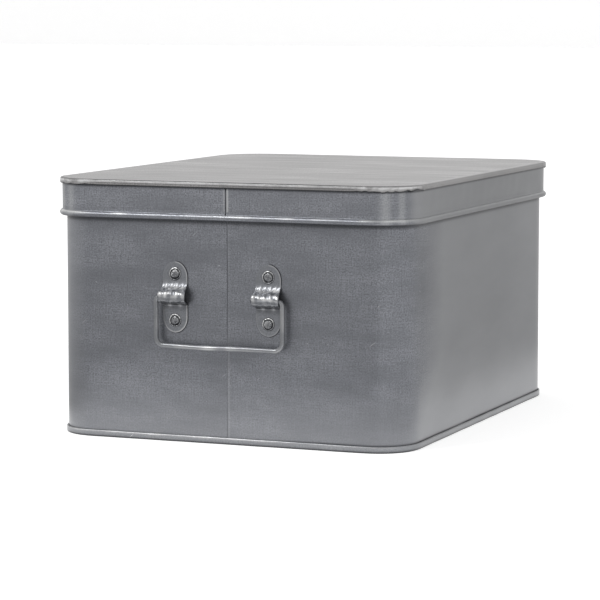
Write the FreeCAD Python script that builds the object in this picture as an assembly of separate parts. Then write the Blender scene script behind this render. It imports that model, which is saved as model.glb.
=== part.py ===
"""Sheet-steel storage box with a lift-off lid and a drop handle on each end.

Two bent sheets, lapped near the middle of each end, make the wall. A base panel is double-seamed to it.
The lid is made the same way: two lapped skirt strips, a seamed top panel, and a bead rolled over a wire.
Each handle is a wire bail that turns in two humped straps, and each strap is held by two riveted washers.

Frame: origin on the ground under the middle of the box, +Z up, the two handles on the -Y and +Y ends.
All sizes are in millimetres. The rear end is the front end turned half round.
"""
import FreeCAD, Part
import math
import os

from FreeCAD import Vector

# Sheet and folds
sheet = 0.5                   # thickness of the wall, base and lid sheets
fold_gap = 0.05               # play between two folded layers
cut_overrun = 3.0             # how far a cutting tool runs past the piece it cuts

# Plan and heights of the closed box
body_width = 305.0            # outside the wall, along X
body_length = 388.0           # outside the wall, along Y, from end to end
corner_radius = 34.0          # outside the wall
box_height = 211.0            # ground to the top of the lid
base_rim_height = 5.4         # seam round the base
hem_depth = 8.0               # folded edge inside the top of the wall

# Lid
lid_depth = 31.2              # top of the lid to the underside of its bead
skirt_clearance = 3.1         # wall to the inside of the skirt
bead_diameter = 5.0           # rolled lower edge of the skirt
neck_height = 2.8             # where the skirt is drawn in above the bead
neck_radius = 3.0             # bends of the neck, on the middle of the sheet
roll_end_share = 0.5          # how far the roll closes past its own top, over its radius
lid_rim_height = 4.7          # seam round the top
rim_edge_radius = 0.8         # bend at the outer edge of a seamed panel, on the middle of the sheet
lid_seat_gap = 0.2            # lid panel above the top of the wall

# Lap seams in the two ends
seam_offset = 2.5             # edge of the front lap from the middle of the box, along X
lap_width = 8.0               # tongue behind the lapping edge
lap_groove = 1.0              # visible groove beside the lapping edge
lap_joint = 6.0               # where the tongue is joined to its own sheet
lap_end_gap = 0.6             # tongue to the fold above and below it
butt_gap = 0.05               # between the two halves where their folds meet

# Straps that the bails turn in
handle_offset = -2.0          # middle of the front handle from the middle of the box, along X
handle_height = 117.5         # ground to the axis that the bail turns on
axis_standoff = 6.9           # wall to that axis
strap_spacing = 81.2          # between the middles of the two straps
strap_width = 21.4
strap_length = 57.6
strap_thickness = 1.0
strap_end_share = 1.18        # length of the rounded end over half the width
hump_root_share = 0.97        # root bend over the largest that the standoff leaves room for

# Bails
wire_diameter = 4.0
wire_clearance = 0.1          # wire to the inside of the hump, all round
bail_drop = 39.3              # axis to the middle of the grip
bail_side_play = 0.2          # outer edge of a strap to the start of the bend beside it
bail_shoulder_radius = 3.4    # bend from the axis to a leg, on the middle of the wire
bail_corner_radius = 7.0      # bend from a leg to the grip, on the middle of the wire
bail_end_inset = 4.0          # inner edge of a strap to the end of the wire inside it

# Rivets and washers
rivet_spacing = 37.6          # upper to lower rivet
shank_diameter = 3.4
shank_clearance = 0.05        # shank to its hole, all round
washer_diameter = 8.8
washer_thickness = 0.8
washer_edge_radius = 0.35
outer_head_diameter = 5.2     # hammered end, over the washer
outer_head_height = 1.4
inner_head_diameter = 7.0     # made head, inside the box
inner_head_height = 1.6
head_edge_share = 0.35        # height of a head's straight edge over its whole height

# Places worked out from the sizes above
half_width = body_width / 2
half_length = body_length / 2
straight_x = half_width - corner_radius
straight_y = half_length - corner_radius
layer = sheet + fold_gap
wall_middle = -sheet / 2
skirt_middle = skirt_clearance + sheet / 2
bead_radius = bead_diameter / 2
bead_height = box_height - lid_depth + bead_radius
roll_radius = bead_radius - sheet / 2
neck_top = bead_height + roll_radius + neck_height
panel_underside = box_height - sheet
wall_top = panel_underside - lid_seat_gap
wire_radius = wire_diameter / 2
hump_radius = wire_radius + wire_clearance + strap_thickness / 2
hump_peak = axis_standoff + hump_radius
hole_radius = shank_diameter / 2 + shank_clearance
washer_top = strap_thickness + washer_thickness

# Directions and turns
ORIGIN = Vector(0, 0, 0)
X_AXIS = Vector(1, 0, 0)
Y_AXIS = Vector(0, 1, 0)
Z_AXIS = Vector(0, 0, 1)
FULL_TURN = 360
HALF_TURN = 180
QUARTER_TURN = 90
FRONT, RIGHT, REAR, LEFT = -90, 0, 90, 180
SAME_POINT = 1e-6
SIDES = {"left": -1, "right": 1}
LEVELS = {"upper": 1, "lower": -1}


def straight_edge(start, end):
    """A list with the straight edge between two points, empty where they are the same."""
    if start.isEqual(end, SAME_POINT):
        return []
    return [Part.LineSegment(start, end).toShape()]


def rounded_run(points, radii):
    """Edges along an open run of (x, z) points, with each inner corner rounded by its radius."""
    edges = []
    places = [Vector(x, 0, z) for x, z in points]
    here = places[0]
    for before, corner, after, radius in zip(places, places[1:], places[2:], radii):
        arriving = (corner - before).normalize()
        leaving = (after - corner).normalize()
        half_bend = arriving.getAngle(leaving) / 2
        first = corner - arriving * (radius * math.tan(half_bend))
        last = corner + leaving * (radius * math.tan(half_bend))
        inward = (leaving - arriving).normalize()
        middle = corner + inward * (radius / math.cos(half_bend) - radius)
        edges += straight_edge(here, first)
        if radius > SAME_POINT:
            edges.append(Part.Arc(first, middle, last).toShape())
        here = last
    return edges + straight_edge(here, places[-1])


def moved_run(points, radii, shift):
    """A run of (x, z) points moved to its left by shift, with the bend radii that it then has."""
    places = [Vector(x, 0, z) for x, z in points]
    ways = [(end - start).normalize() for start, end in zip(places, places[1:])]
    lefts = [Vector(-way.z, 0, way.x) for way in ways]
    moved = [places[0] + lefts[0] * shift]
    bends = []
    for place, radius, before, after, way in zip(places[1:], radii, lefts, lefts[1:], ways[1:]):
        moved.append(place + (before + after) * (shift / (1 + before.dot(after))))
        bends.append(max(radius - math.copysign(shift, before.dot(way)), 0))
    moved.append(places[-1] + lefts[-1] * shift)
    return [(place.x, place.z) for place in moved], bends


def bent_sheet(points, radii, thickness):
    """Face of a sheet bent along a run of (x, z) points on its middle, with bend radii on its middle."""
    near, near_bends = moved_run(points, radii, thickness / 2)
    far, far_bends = moved_run(points[::-1], radii[::-1], thickness / 2)
    edges = rounded_run(near, near_bends) + rounded_run([near[-1], far[0]], [])
    edges += rounded_run(far, far_bends) + rounded_run([far[-1], near[0]], [])
    return Part.Face(Part.Wire(edges))


def one_solid(shape):
    """The single clean solid that a shape holds."""
    solids = shape.removeSplitter().Solids
    if len(solids) != 1:
        raise ValueError(f"expected one solid and found {len(solids)}")
    return solids[0]


def outwards(side):
    """Unit vector that points out of one side of the box."""
    return Vector(math.cos(math.radians(side)), math.sin(math.radians(side)), 0)


def onwards(side):
    """Unit vector that points along one side of the box, anticlockwise seen from above."""
    return outwards(side + QUARTER_TURN)


def set_on_side(section, side, place):
    """A section with its x axis turned to point out of one side of the box, moved to a place there."""
    turned = section.copy()
    turned.rotate(ORIGIN, Z_AXIS, side)
    turned.translate(place)
    return turned


def straight_run(section, side, place, length):
    """A section carried along one side of the box."""
    return set_on_side(section, side, place).extrude(onwards(side) * length)


def corner_run(section, side, place):
    """A section carried round the corner at the end of one side of the box."""
    centre = place - outwards(side) * corner_radius
    return set_on_side(section, side, place).revolve(centre, Z_AXIS, QUARTER_TURN)


def carried_half(section):
    """A section carried from the front lap, along the right side, to the lap in the rear end."""
    start = seam_offset + butt_gap
    runs = [
        straight_run(section, FRONT, Vector(start, -half_length, 0), straight_x - start),
        corner_run(section, FRONT, Vector(straight_x, -half_length, 0)),
        straight_run(section, RIGHT, Vector(half_width, -straight_y, 0), straight_y * 2),
        corner_run(section, RIGHT, Vector(half_width, straight_y, 0)),
        straight_run(section, REAR, Vector(straight_x, half_length, 0), straight_x + seam_offset),
    ]
    return runs[0].multiFuse(runs[1:])


def carried_round(section):
    """A section carried all the way round the box."""
    runs = []
    for side, place, length in (
        (FRONT, Vector(-straight_x, -half_length, 0), straight_x * 2),
        (RIGHT, Vector(half_width, -straight_y, 0), straight_y * 2),
        (REAR, Vector(straight_x, half_length, 0), straight_x * 2),
        (LEFT, Vector(-half_width, straight_y, 0), straight_y * 2),
    ):
        runs.append(straight_run(section, side, place, length))
        runs.append(corner_run(section, side, place + onwards(side) * length))
    return runs[0].multiFuse(runs[1:])


def block(x_span, y_span, z_span):
    """A box between three pairs of coordinates, each the lower one first."""
    low, high = zip(x_span, y_span, z_span)
    return Part.makeBox(*(Vector(*high) - Vector(*low)), Vector(*low))


def plan_plate(bottom, thickness):
    """A flat plate with the outline of the wall's outside."""
    slab = block((-half_width, half_width), (-half_length, half_length), (bottom, bottom + thickness))
    uprights = [edge for edge in slab.Edges if abs(edge.tangentAt(0).z) > SAME_POINT]
    return slab.makeFillet(corner_radius, uprights)


def lapped_half(section, inside, plain_span):
    """Right half of the wall or skirt, with a tongue at its front end behind the other half's edge.

    inside is how far the sheet's inner face stands out from the wall's outside, and plain_span is the
    height between its folds.
    """
    face = -half_length - inside
    behind = face + fold_gap
    heights = (plain_span[0] + lap_end_gap, plain_span[1] - lap_end_gap)
    groove_end = seam_offset + lap_groove
    joint_end = groove_end + lap_joint
    groove = block((seam_offset - cut_overrun, groove_end), (face - sheet - cut_overrun, behind), heights)
    tongue = block((seam_offset - lap_width, joint_end), (behind, behind + sheet), heights)
    joint = block((groove_end, joint_end), (face, behind + sheet), heights)
    return one_solid(carried_half(section).cut(groove).multiFuse([tongue, joint]))


def turned_half_round(shape):
    """The shape turned half round the box's upright axis, as on the rear end or the other half."""
    turned = shape.copy()
    turned.rotate(ORIGIN, Z_AXIS, HALF_TURN)
    return turned


def strap_middle(side):
    """X of the middle of one strap on the front end."""
    return handle_offset + side * strap_spacing / 2


def rivet_height(level):
    """Height of the upper or lower rivets."""
    return handle_height + level * rivet_spacing / 2


def drilled(shape):
    """The shape with the rivet holes of both ends drilled through it, along Y."""
    reach = half_length + hump_peak + cut_overrun
    drills = []
    for side in SIDES.values():
        for level in LEVELS.values():
            place = Vector(strap_middle(side), 0, rivet_height(level))
            drill = Part.makeCylinder(hole_radius, reach, place, -Y_AXIS)
            drills += [drill, turned_half_round(drill)]
    return one_solid(shape.cut(Part.makeCompound(drills)))


def right_wall():
    """Right half of the wall: a hem at the top, and a hook at the foot that the base panel grips."""
    hem_middle = wall_middle - layer
    hem_top = wall_top - sheet / 2
    hook_middle = wall_middle + layer * 2
    foot = layer + sheet / 2
    section = bent_sheet(
        [
            (hem_middle, wall_top - hem_depth),
            (hem_middle, hem_top),
            (wall_middle, hem_top),
            (wall_middle, foot),
            (hook_middle, foot),
            (hook_middle, base_rim_height - sheet / 2 - layer),
        ],
        [layer / 2, layer / 2, layer, layer],
        sheet,
    )
    return drilled(lapped_half(section, -sheet, (base_rim_height, wall_top - hem_depth)))


def base_panel():
    """Flat base whose edge wraps up round the foot of the wall and hooks down behind it."""
    rim_middle = wall_middle + layer * 3
    rim_top = base_rim_height - sheet / 2
    section = bent_sheet(
        [
            (0, sheet / 2),
            (rim_middle, sheet / 2),
            (rim_middle, rim_top),
            (wall_middle + layer, rim_top),
            (wall_middle + layer, sheet + layer * 2),
        ],
        [rim_edge_radius, layer, layer],
        sheet,
    )
    return one_solid(carried_round(section).fuse(plan_plate(0, sheet)))


def lid_right_skirt():
    """Right half of the lid's skirt: a hook at the top for the panel, a neck, and a rolled lower edge."""
    hook_middle = skirt_middle + layer * 2
    hook_top = panel_underside - fold_gap - sheet / 2
    hook_foot = box_height - lid_rim_height + sheet / 2 + layer
    section = bent_sheet(
        [
            (hook_middle, hook_foot),
            (hook_middle, hook_top),
            (skirt_middle, hook_top),
            (skirt_middle, neck_top),
            (skirt_middle - roll_radius, bead_height + roll_radius),
            (skirt_middle - roll_radius, bead_height - roll_radius),
            (skirt_middle + roll_radius, bead_height - roll_radius),
            (skirt_middle + roll_radius, bead_height + roll_radius),
            (skirt_middle - roll_radius * roll_end_share, bead_height + roll_radius),
        ],
        [layer, layer, neck_radius, neck_radius, roll_radius, roll_radius, roll_radius],
        sheet,
    )
    return lapped_half(section, skirt_clearance, (neck_top + neck_radius, box_height - lid_rim_height))


def lid_panel():
    """Flat top whose edge wraps down over the skirt's hook and tucks up behind it."""
    rim_middle = skirt_middle + layer * 3
    rim_foot = box_height - lid_rim_height + sheet / 2
    section = bent_sheet(
        [
            (0, box_height - sheet / 2),
            (rim_middle, box_height - sheet / 2),
            (rim_middle, rim_foot),
            (skirt_middle + layer, rim_foot),
            (skirt_middle + layer, panel_underside - layer * 2),
        ],
        [rim_edge_radius, layer, layer],
        sheet,
    )
    return one_solid(carried_round(section).fuse(plan_plate(panel_underside, sheet)))


def lid_edge_wire():
    """Hoop of wire that the bead is rolled over."""
    middle = Vector(skirt_middle, 0, bead_height)
    circle = Part.makeCircle(bead_radius - layer, middle, Y_AXIS)
    return one_solid(carried_round(Part.Face(Part.Wire(circle))))


def strap_outline(side):
    """Face of a strap's outline on the wall: straight sides and half-oval ends."""
    half = strap_width / 2
    end = half * strap_end_share
    straight = strap_length / 2 - end
    middle = Vector(strap_middle(side), -half_length, handle_height)
    edges = []
    for way in (-1, 1):
        centre = middle + Z_AXIS * (way * straight)
        oval = Part.Ellipse(centre + Z_AXIS * (way * end), centre + X_AXIS * half, centre)
        edges.append(Part.ArcOfEllipse(oval, -math.pi / 2, math.pi / 2).toShape())
        edge_foot = middle + X_AXIS * (way * half) - Z_AXIS * straight
        edges += straight_edge(edge_foot, edge_foot + Z_AXIS * (straight * 2))
    return Part.Face(Part.Wire(Part.__sortEdges__(edges)))


def strap(side):
    """One strap on the front end: a flat strip with rounded ends and a hump that the wire turns in."""
    flat_middle = strap_thickness / 2
    root_radius = (axis_standoff - flat_middle) * hump_root_share
    section = bent_sheet(
        [
            (flat_middle, -strap_length / 2),
            (flat_middle, -hump_radius),
            (hump_peak, -hump_radius),
            (hump_peak, hump_radius),
            (flat_middle, hump_radius),
            (flat_middle, strap_length / 2),
        ],
        [root_radius, hump_radius, hump_radius, root_radius],
        strap_thickness,
    )
    start = Vector(strap_middle(side) - strap_width / 2, -half_length, handle_height)
    strip = straight_run(section, FRONT, start, strap_width)
    outline = strap_outline(side).extrude(-Y_AXIS * (hump_peak + strap_thickness + cut_overrun))
    return drilled(strip.common(outline))


def front_bail():
    """Front handle: one wire, bent down at both shoulders and across to make the grip."""
    end = (strap_spacing - strap_width) / 2 + bail_end_inset
    leg = (strap_spacing + strap_width) / 2 + bail_side_play + bail_shoulder_radius
    grip = handle_height - bail_drop
    path = rounded_run(
        [
            (-end, handle_height),
            (-leg, handle_height),
            (-leg, grip),
            (leg, grip),
            (leg, handle_height),
            (end, handle_height),
        ],
        [bail_shoulder_radius, bail_corner_radius, bail_corner_radius, bail_shoulder_radius],
    )
    circle = Part.makeCircle(wire_radius, Vector(-end, 0, handle_height), X_AXIS)
    wire = Part.Wire(path).makePipeShell([Part.Wire(circle)], True, False)
    wire.translate(Vector(handle_offset, -half_length - axis_standoff, 0))
    return one_solid(wire)


def domed_head(radius, height, face, way):
    """Edges of half a rivet head, from its edge on a face at one height to its crown on the axis."""
    edge = height * head_edge_share
    crown = height - edge
    ball_radius = (radius**2 + crown**2) / (crown * 2)
    lean = math.asin(radius / ball_radius) / 2
    rim = Vector(radius, 0, face + way * edge)
    rise = height - ball_radius + ball_radius * math.cos(lean)
    bulge = Vector(ball_radius * math.sin(lean), 0, face + way * rise)
    top = Vector(0, 0, face + way * height)
    return straight_edge(Vector(radius, 0, face), rim) + [Part.Arc(rim, bulge, top).toShape()]


def set_at_rivet(profile, side, level):
    """A (radius, height) profile turned about its axis, at one rivet of the front end, height outwards."""
    turned = profile.revolve(ORIGIN, Z_AXIS, FULL_TURN)
    turned.rotate(ORIGIN, X_AXIS, QUARTER_TURN)
    turned.translate(Vector(strap_middle(side), -half_length, rivet_height(level)))
    return one_solid(turned)


def rivet(side, level):
    """Solid rivet: a made head inside the wall, and a hammered one over the washer."""
    shank = shank_diameter / 2
    inner = inner_head_diameter / 2
    outer = outer_head_diameter / 2
    edges = domed_head(inner, inner_head_height, -sheet, -1)
    edges += domed_head(outer, outer_head_height, washer_top, 1)
    edges += rounded_run([(inner, -sheet), (shank, -sheet), (shank, washer_top), (outer, washer_top)], [0, 0])
    edges += rounded_run([(0, -sheet - inner_head_height), (0, washer_top + outer_head_height)], [])
    return set_at_rivet(Part.Face(Part.Wire(Part.__sortEdges__(edges))), side, level)


def washer(side, level):
    """Flat washer under the hammered head, with a rounded outer edge."""
    radius = washer_diameter / 2
    corners = [
        (hole_radius, strap_thickness),
        (radius, strap_thickness),
        (radius, washer_top),
        (hole_radius, washer_top),
        (hole_radius, strap_thickness),
    ]
    edges = rounded_run(corners, [0, washer_edge_radius, 0])
    return set_at_rivet(Part.Face(Part.Wire(edges)), side, level)


def all_pieces():
    """Every piece of the box, by the name of its node."""
    wall = right_wall()
    skirt = lid_right_skirt()
    bail = front_bail()
    pieces = {
        "right_wall": wall,
        "left_wall": turned_half_round(wall),
        "base_panel": base_panel(),
        "lid_panel": lid_panel(),
        "lid_right_skirt": skirt,
        "lid_left_skirt": turned_half_round(skirt),
        "lid_edge_wire": lid_edge_wire(),
        "front_bail": bail,
        "rear_bail": turned_half_round(bail),
    }
    for side_name, side in SIDES.items():
        pieces[f"front_{side_name}_strap"] = strap(side)
        pieces[f"rear_{side_name}_strap"] = turned_half_round(strap(-side))
        for level_name, level in LEVELS.items():
            for kind, make in (("rivet", rivet), ("washer", washer)):
                name = f"{side_name}_{level_name}_{kind}"
                pieces[f"front_{name}"] = make(side, level)
                pieces[f"rear_{name}"] = turned_half_round(make(-side, level))
    return pieces


os.makedirs("parts", exist_ok=True)
for node, piece in all_pieces().items():
    if not piece.isValid():
        raise ValueError(f"{node} is not a valid solid")
    piece.exportStep(os.path.join("parts", f"{node}.step"))
    print(f"{node}: {piece.Volume:.1f} mm3")
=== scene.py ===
"""Looks of a painted sheet-steel storage box with a lift-off lid and two wire drop handles.

Every piece is a closed surface in metres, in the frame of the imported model: origin on the ground under the
middle of the box, +Z up, the front handle on the -Y end. The file follows the box as it is put together.
"""
from itertools import product

import bmesh
import bpy
import numpy as np
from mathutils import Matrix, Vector


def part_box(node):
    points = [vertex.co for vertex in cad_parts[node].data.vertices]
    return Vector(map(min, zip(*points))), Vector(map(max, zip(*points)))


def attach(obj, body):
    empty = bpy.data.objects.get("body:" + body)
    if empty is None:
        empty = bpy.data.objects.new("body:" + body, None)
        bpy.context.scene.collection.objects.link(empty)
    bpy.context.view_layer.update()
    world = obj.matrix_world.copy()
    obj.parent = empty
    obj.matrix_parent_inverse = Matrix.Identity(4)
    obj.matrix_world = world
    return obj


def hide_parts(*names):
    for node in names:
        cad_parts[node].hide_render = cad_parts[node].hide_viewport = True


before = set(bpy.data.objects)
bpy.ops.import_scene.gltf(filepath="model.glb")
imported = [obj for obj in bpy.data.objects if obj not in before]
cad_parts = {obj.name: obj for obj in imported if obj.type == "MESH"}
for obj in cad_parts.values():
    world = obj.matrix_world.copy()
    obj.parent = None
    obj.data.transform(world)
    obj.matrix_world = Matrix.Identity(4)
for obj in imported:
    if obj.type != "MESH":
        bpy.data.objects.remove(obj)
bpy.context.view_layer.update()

# Wall halves
# Two bent sheets of 0.5 mm steel, hemmed inwards at the top and hooked outwards at the foot. They lap near
# the middle of each end, where a tongue on one half lies behind the edge of the other. The ends were painted
# by brush after riveting and show its grain, and the sides are smoother. The ends' darker colour is partly
# painted shade, and the darker zone where it runs onto the start of each side is a painted reflection.
SHEET = 0.0005
LAYER = 0.00055
wall_low, wall_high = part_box("right_wall")
base_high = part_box("base_panel")[1]
skirt_low, skirt_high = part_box("lid_right_skirt")
HALF_WIDTH = wall_high.x - LAYER * 2
HALF_LENGTH = wall_high.y - LAYER * 2
CORNER = 0.0331
SOFTEN = 0.014
SIDE_X = HALF_WIDTH - CORNER
SIDE_Y = HALF_LENGTH - CORNER
ROUND = 4 * SIDE_X + 4 * SIDE_Y + 2 * np.pi * CORNER
HEM_DEPTH = 0.008
SEAM = 0.0025
SEAM_FILL = 0.0003
WALL_GROOVE = 0.0006
TONGUE = 0.008
ARC_STEP = 0.2


def bent_line(points, radii, step):
    """Points and left normals along straight lines whose corners are rounded.

    Each corner's arc is tangent to its two lines: its centre lies on the corner's inner bisector, a radius
    over the cosine of half the bend away. Straights are cut into equal steps and arcs into small turns.
    """
    points = np.asarray(points, float)
    ways = np.diff(points, axis=0)
    ways /= np.linalg.norm(ways, axis=1)[:, None]
    places, normals, here = [], [], points[0]
    for corner, radius, before, after in zip(points[1:], radii, ways, ways[1:]):
        turn = np.arctan2(before[0] * after[1] - before[1] * after[0], before @ after)
        reach = radius * np.tan(abs(turn) / 2)
        first, last = corner - before * reach, corner + after * reach
        straight = np.linalg.norm(first - here)
        if straight > SHEET / 50:
            share = np.linspace(0, 1, max(int(np.ceil(straight / step)), 1) + 1)[:-1, None]
            places.append(here + (first - here) * share)
            normals.append(np.broadcast_to([-before[1], before[0]], places[-1].shape))
        inward = np.array([-before[1], before[0]]) * np.sign(turn)
        spin = turn * np.linspace(0, 1, max(int(np.ceil(abs(turn) / ARC_STEP)), 1) + 1)[:-1]
        spoke = -inward[None] * np.cos(spin)[:, None] + before[None] * np.sin(abs(spin))[:, None]
        places.append(first + inward * radius + spoke * radius)
        normals.append(-spoke * np.sign(turn))
        here = last
    straight = np.linalg.norm(points[-1] - here)
    share = np.linspace(0, 1, max(int(np.ceil(straight / step)), 1) + 1)[:, None]
    places.append(here + (points[-1] - here) * share)
    normals.append(np.broadcast_to([-ways[-1][1], ways[-1][0]], places[-1].shape))
    return np.concatenate(places), np.concatenate(normals)


def sheet_outline(points, radii, step):
    """Closed outline of a bent sheet: its middle line moved half a sheet left, then back along its right."""
    line, left = bent_line(points, radii, step)
    return np.concatenate([line + left * SHEET / 2, (line - left * SHEET / 2)[::-1]])


def line_lengths(line):
    """Length along a line of points, from its first one."""
    return np.concatenate([[0], np.cumsum(np.linalg.norm(np.diff(line, axis=0), axis=1))])


def plan(run):
    """Points and outward normals on the wall's outside, at lengths from the middle of the front end.

    The outline is an arc about a centre that slides from corner to corner: along a side the centre moves and
    the angle stays, and round a corner the angle turns and the centre stays. A weighted mean over a short
    length both ways lets the bends begin gently, as in a sheet that is bent by hand.
    """
    quarter = CORNER * np.pi / 2
    sides = [SIDE_X, quarter, 2 * SIDE_Y, quarter, 2 * SIDE_X, quarter, 2 * SIDE_Y, quarter, SIDE_X]
    knots = np.cumsum([0] + sides)
    away = np.linspace(-1, 1, 11)[1:-1]
    weight = np.cos(away * np.pi / 2) ** 2
    weight /= weight.sum()
    run = np.mod(run[..., None] + SOFTEN * away, ROUND)
    angle = np.radians(np.interp(run, knots, [-90, -90, 0, 0, 90, 90, 180, 180, 270, 270]))
    x = np.interp(run, knots, np.array([0, 1, 1, 1, 1, -1, -1, -1, -1, 0]) * SIDE_X)
    y = np.interp(run, knots, np.array([-1, -1, -1, 1, 1, 1, 1, -1, -1, -1]) * SIDE_Y)
    normal = np.stack([np.cos(angle), np.sin(angle)], -1)
    place = (np.stack([x, y], -1) + CORNER * normal) * weight[:, None]
    normal = (normal * weight[:, None]).sum(-2)
    return place.sum(-2), normal / np.linalg.norm(normal, axis=-1)[..., None]


def waves(points, length, depth, seed):
    """Smooth uneven field of a mean depth: twelve sine waves of about one length, in random directions."""
    count = 12
    draw = np.random.default_rng(seed)
    ways = draw.normal(size=(count, 3))
    ways /= np.linalg.norm(ways, axis=1)[:, None]
    turns = 2 * np.pi / (length * draw.uniform(0.7, 1.6, count))
    phases = draw.uniform(0, 2 * np.pi, count)
    return depth * np.sqrt(2 / count) * np.sin(points @ (ways * turns[:, None]).T + phases).sum(-1)


def looks(points, wear_and_highlight=0.0, shade_and_grime=0.0, brushed_and_shaded=1.0):
    """How each point looks, each from 0 to 1: bright with wear and painted highlight, dark with grime and
    painted shade, and grained by the brush, whose darker colour is partly painted shade.
    """
    shape = points.shape[:-1]
    return np.stack([np.broadcast_to(value, shape) for value in (wear_and_highlight, shade_and_grime, brushed_and_shaded)], -1)


def near(values, middle, reach):
    """1 at the middle, falling smoothly on both sides to a tenth at the reach. Named pairs hold the two."""
    return np.exp(-(((values - middle) / reach * 1.5) ** 2))


def along_end(points):
    """Distance along an end from its middle, positive towards its right-hand corner seen from outside."""
    return -np.sign(points[..., 1]) * points[..., 0]


# Heights, reaches and fades of the edge of the darker brushed colour on the sides, a painted reflection.
BRUSH_AND_SHADE_HEIGHTS = [0.005, 0.04, 0.06, 0.085]
BRUSH_AND_SHADE_REACHES = [-0.006, 0.012, 0.032, 0.037]
BRUSH_AND_SHADE_FADES = [0.03, 0.05]
LEFT_REACH = -0.03
LEFT_FADE = 0.04


def brush_and_shade(points):
    """1 on the ends, fading to 0 along the start of the sides, and sooner and faster near the floor.

    Along a side the distance is measured from the end of the corner, and back round the corner it is
    negative. The darker brushed colour runs past each end's right-hand corner and stops within its left-hand
    one; the darker zone it makes at the start of each side, with its slanting edge, is a painted reflection.
    """
    beyond = np.maximum(abs(points[..., :2]) - [SIDE_X, SIDE_Y], 0)
    arc = CORNER * np.arctan2(beyond[..., 1], beyond[..., 0])
    past = np.where(beyond[..., 1] > 0, -arc, SIDE_Y - abs(points[..., 1]))
    height = points[..., 2]
    left_hand = along_end(points) < 0
    reach = np.where(left_hand, LEFT_REACH, np.interp(height, BRUSH_AND_SHADE_HEIGHTS, BRUSH_AND_SHADE_REACHES))
    fade = np.where(left_hand, LEFT_FADE, np.interp(height, BRUSH_AND_SHADE_HEIGHTS[::3], BRUSH_AND_SHADE_FADES))
    return np.clip(0.5 + (reach - past) / fade, 0, 1)


def grid(points, uv, look, round_rows=False, round_columns=False, caps=False):
    """A shell from a grid of points (rows, columns, 3): points, faces, uv at the face corners, and looks.

    Rows or columns that go round join their last line to their first. Capped ends pair the columns from both
    ends, which closes the cut edge of a bent sheet with one strip of faces. Faces that enclose a negative
    volume are turned over.
    """
    rows, columns = points.shape[:2]
    i, k = np.indices((rows - 1 + round_rows, columns - 1 + round_columns))
    rows_at = np.stack([i, i + 1, i + 1, i], -1).reshape(-1, 4)
    columns_at = np.stack([k, k, k + 1, k + 1], -1).reshape(-1, 4)
    faces = rows_at % rows * columns + columns_at % columns
    corners = uv[rows_at, columns_at]
    if caps:
        j = np.arange(columns // 2 - 1)
        strip = np.stack([j, j + 1, columns - 2 - j, columns - 1 - j], -1)
        for row, ends in ((0, strip), (rows - 1, strip[:, ::-1])):
            faces = np.concatenate([faces, row * columns + ends])
            corners = np.concatenate([corners, uv[row, ends]])
    flat = points.reshape(-1, 3)
    a, b, c, d = (flat[faces[:, n]] for n in range(4))
    if (a * np.cross(b, c)).sum() + (a * np.cross(c, d)).sum() < 0:
        faces, corners = faces[:, ::-1], corners[:, ::-1]
    return flat, faces, corners, look.reshape(-1, 3)


def carried(outline, runs, uneven, look, round_rows=False, lift=None):
    """Shell of an outline of (out, up) points carried along the plan.

    runs gives the length along the plan of each row, or of each row and column. uneven moves each point
    outwards by a field of its place, and lift moves it upwards. look gives its looks from its place, its
    outward normal and how far out it lies. The uv is the length along the plan and along the outline.
    """
    runs = runs + np.zeros(len(outline))
    place, normal = plan(runs)
    flat = place + normal * outline[:, 0, None]
    points = np.concatenate([flat, np.broadcast_to(outline[:, 1], runs.shape)[..., None]], -1)
    look = look(points, normal, np.broadcast_to(outline[:, 0], runs.shape))
    rise = lift(points) if lift else 0.0
    points[..., :2] += normal * uneven(points)[..., None]
    points[..., 2] += rise
    along = line_lengths(np.concatenate([outline, outline[:1]]))
    lengths = np.concatenate([runs, runs[:1] + ROUND]) if round_rows else runs
    lengths = np.concatenate([lengths, lengths[:, :1]], 1)
    uv = np.stack(np.broadcast_arrays(lengths, along), -1)
    return grid(points, uv, look, round_rows, True, not round_rows)


def to_other_end(shell):
    """The shell turned half round the upright axis."""
    points, faces, uv, look = shell
    return points * [-1, -1, 1], faces, uv, look


def steps(start, stop, spacing, fine=0.0, length=0.0):
    """A column of evenly spaced lengths from start to stop, with finer ones for a length at both ends."""
    middle = np.linspace(start + length, stop - length, int((stop - start - 2 * length) / spacing) + 2)
    if not fine:
        return middle[:, None]
    edge = np.linspace(0, length, int(length / fine) + 1)[:-1]
    return np.concatenate([start + edge, middle, stop - edge[::-1]])[:, None]


SHARP = np.radians(38)


def piece(name, shells, material, body, slot, *nodes):
    """One object of several closed shells that stands for CAD nodes and rides on a body.

    Points that meet, as where a shell is drawn together to a pole, are merged.
    """
    counts = np.cumsum([0] + [len(shell[0]) for shell in shells])
    points = np.concatenate([shell[0] for shell in shells])
    faces = np.concatenate([shell[1] + count for shell, count in zip(shells, counts)])
    corners = np.concatenate([shell[2] for shell in shells]).astype(np.float32)
    look = np.concatenate([shell[3] for shell in shells]).astype(np.float32)
    mesh = bpy.data.meshes.new(name)
    mesh.from_pydata(points.tolist(), [], faces.tolist())
    mesh.uv_layers.new(name="surface").data.foreach_set("uv", corners.ravel())
    mesh.attributes.new("looks", "FLOAT_VECTOR", "POINT").data.foreach_set("vector", look.ravel())
    merged = bmesh.new()
    merged.from_mesh(mesh)
    bmesh.ops.remove_doubles(merged, verts=merged.verts, dist=SHEET / 5000)
    merged.to_mesh(mesh)
    merged.free()
    mesh.shade_smooth()
    mesh.set_sharp_from_angle(angle=SHARP)
    mesh.materials.append(material)
    made = bpy.data.objects.new(name, mesh)
    bpy.context.scene.collection.objects.link(made)
    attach(made, body)
    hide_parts(*nodes)


def linear(colour):
    """Linear RGBA of an sRGB hex colour."""
    parts = np.array([int(colour[n : n + 2], 16) for n in (1, 3, 5)]) / 255
    return (*np.where(parts <= 0.04045, parts / 12.92, ((parts + 0.055) / 1.055) ** 2.4), 1.0)


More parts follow.
